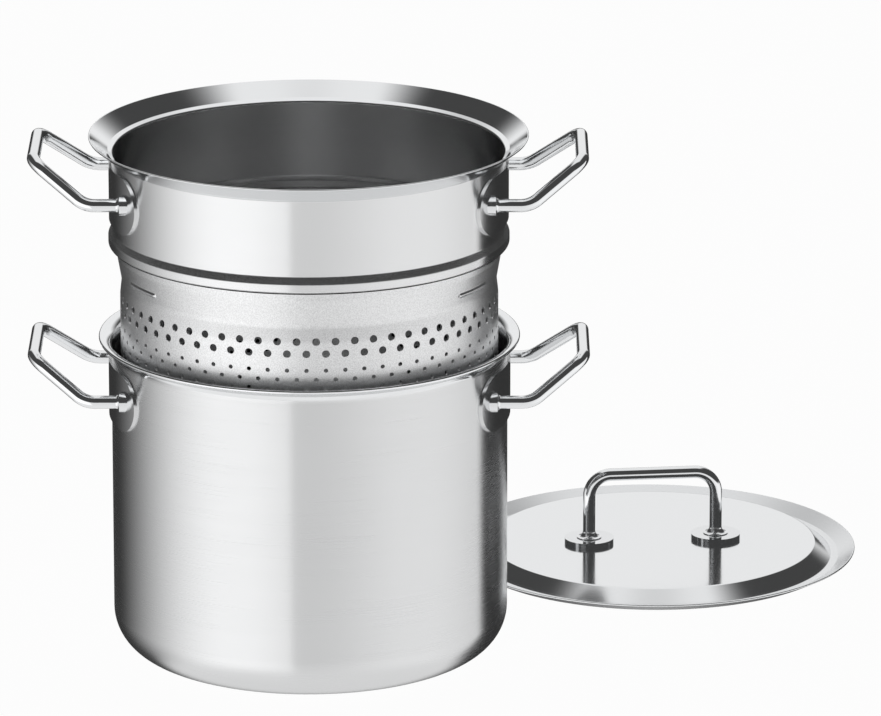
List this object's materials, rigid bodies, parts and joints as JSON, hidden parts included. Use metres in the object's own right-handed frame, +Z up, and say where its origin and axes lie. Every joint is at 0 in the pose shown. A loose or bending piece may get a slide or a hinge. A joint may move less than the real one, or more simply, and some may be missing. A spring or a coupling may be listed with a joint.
{
  "type": "pasta pot with strainer insert",
  "caption": "Tall clad cooking pot with a lift-out strainer insert on a collar, welded rod handles on both, and a flat lid with a rod handle.",
  "frame": {"origin": "middle of the pot's flat base, on the surface that it stands on", "axes": "+Z up along the pot's axis; +X through the right-hand side handles; +Y away from the viewer of the picture"},
  "size_m": [0.5218, 0.4556, 0.3299],
  "materials": {
    "satin_steel": "satin, brushed round the wall",
    "inner_steel": "fine satin",
    "core_aluminium": "rolled sheet",
    "polished_steel": "mirror polish",
    "matt_steel": "matt, fine grain",
    "plate_steel": "satin",
    "lid_steel": "polished, brushed rim"
  },
  "bodies": {
    "pot": {"pot_outer_skin": "satin_steel", "pot_core": "core_aluminium", "pot_inner_skin": "inner_steel", "pot_plate_left": "plate_steel", "pot_plate_right": "plate_steel", "pot_handle_left": "polished_steel", "pot_handle_right": "polished_steel", "pot_welds_left": "polished_steel", "pot_welds_right": "polished_steel"},
    "insert": {"insert_collar": "satin_steel", "insert_basket": "matt_steel", "insert_plate_left": "plate_steel", "insert_plate_right": "plate_steel", "insert_handle_left": "polished_steel", "insert_handle_right": "polished_steel", "insert_welds_left": "polished_steel", "insert_welds_right": "polished_steel"},
    "lid": {"lid_disc": "lid_steel", "lid_handle": "polished_steel", "lid_washer_left": "polished_steel", "lid_washer_right": "polished_steel", "lid_weld_left": "polished_steel", "lid_weld_right": "polished_steel"}
  },
  "joints": [
    {"name": "insert_lift", "type": "slide", "parent": "pot", "child": "insert", "axis": [0, 0, 1], "range_m": [-0.061, 0.13]},
    {"name": "lid_lift", "type": "slide", "parent": "pot", "child": "lid", "axis": [0, 0, 1], "range_m": [0, 0.12]}
  ]
}
